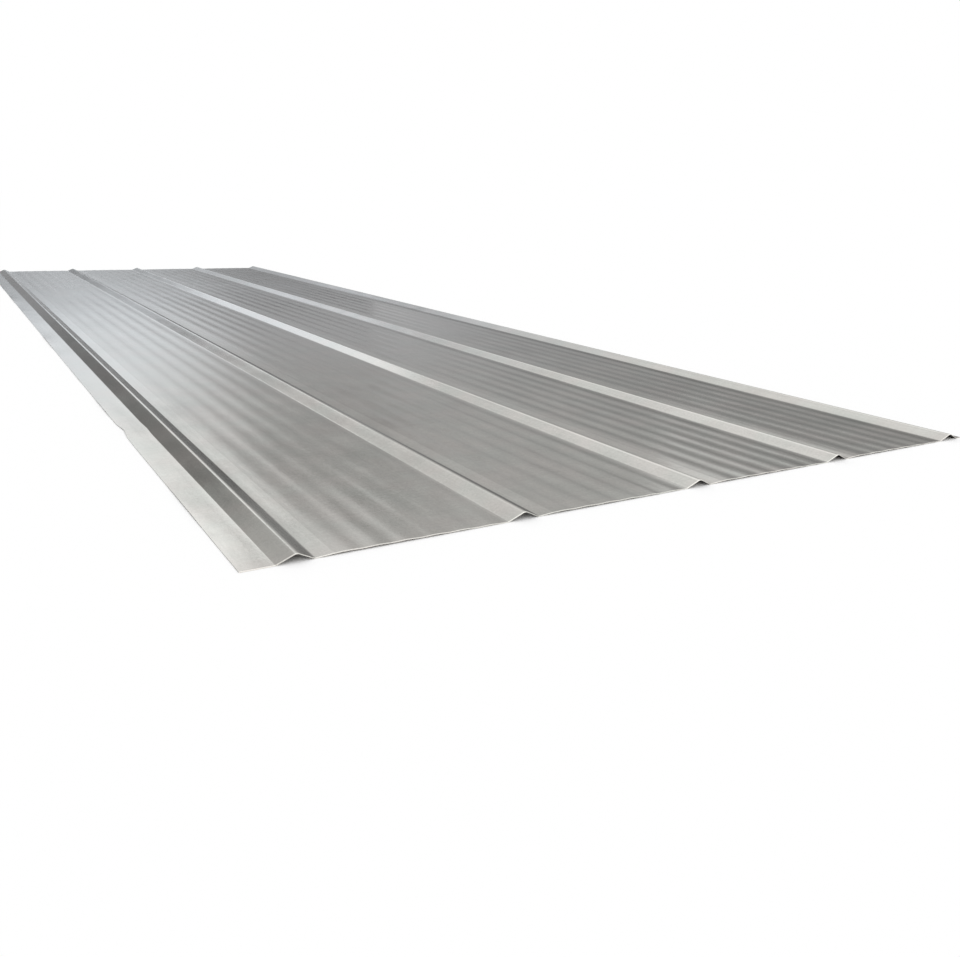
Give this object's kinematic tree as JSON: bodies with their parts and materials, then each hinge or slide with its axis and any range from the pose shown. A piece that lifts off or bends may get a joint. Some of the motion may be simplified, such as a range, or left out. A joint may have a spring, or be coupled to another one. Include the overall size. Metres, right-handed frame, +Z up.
{
  "type": "corrugated metal sheet",
  "caption": "Roll-formed steel roofing sheet with low ribs, shallow flutes along its pans, a side flange and a lap edge, for covering roofs and walls.",
  "frame": {"origin": "middle of the sheet's underside, on the surface it lies on", "axes": "+Y along the sheet's length, +X across it from the side flange to the lap edge, +Z up, the way the ribs stand"},
  "size_m": [0.9736, 3, 0.0076],
  "materials": {
    "coated_steel": "satin metallic zinc coating"
  },
  "bodies": {
    "root": {"sheet": "coated_steel"}
  },
  "joints": []
}
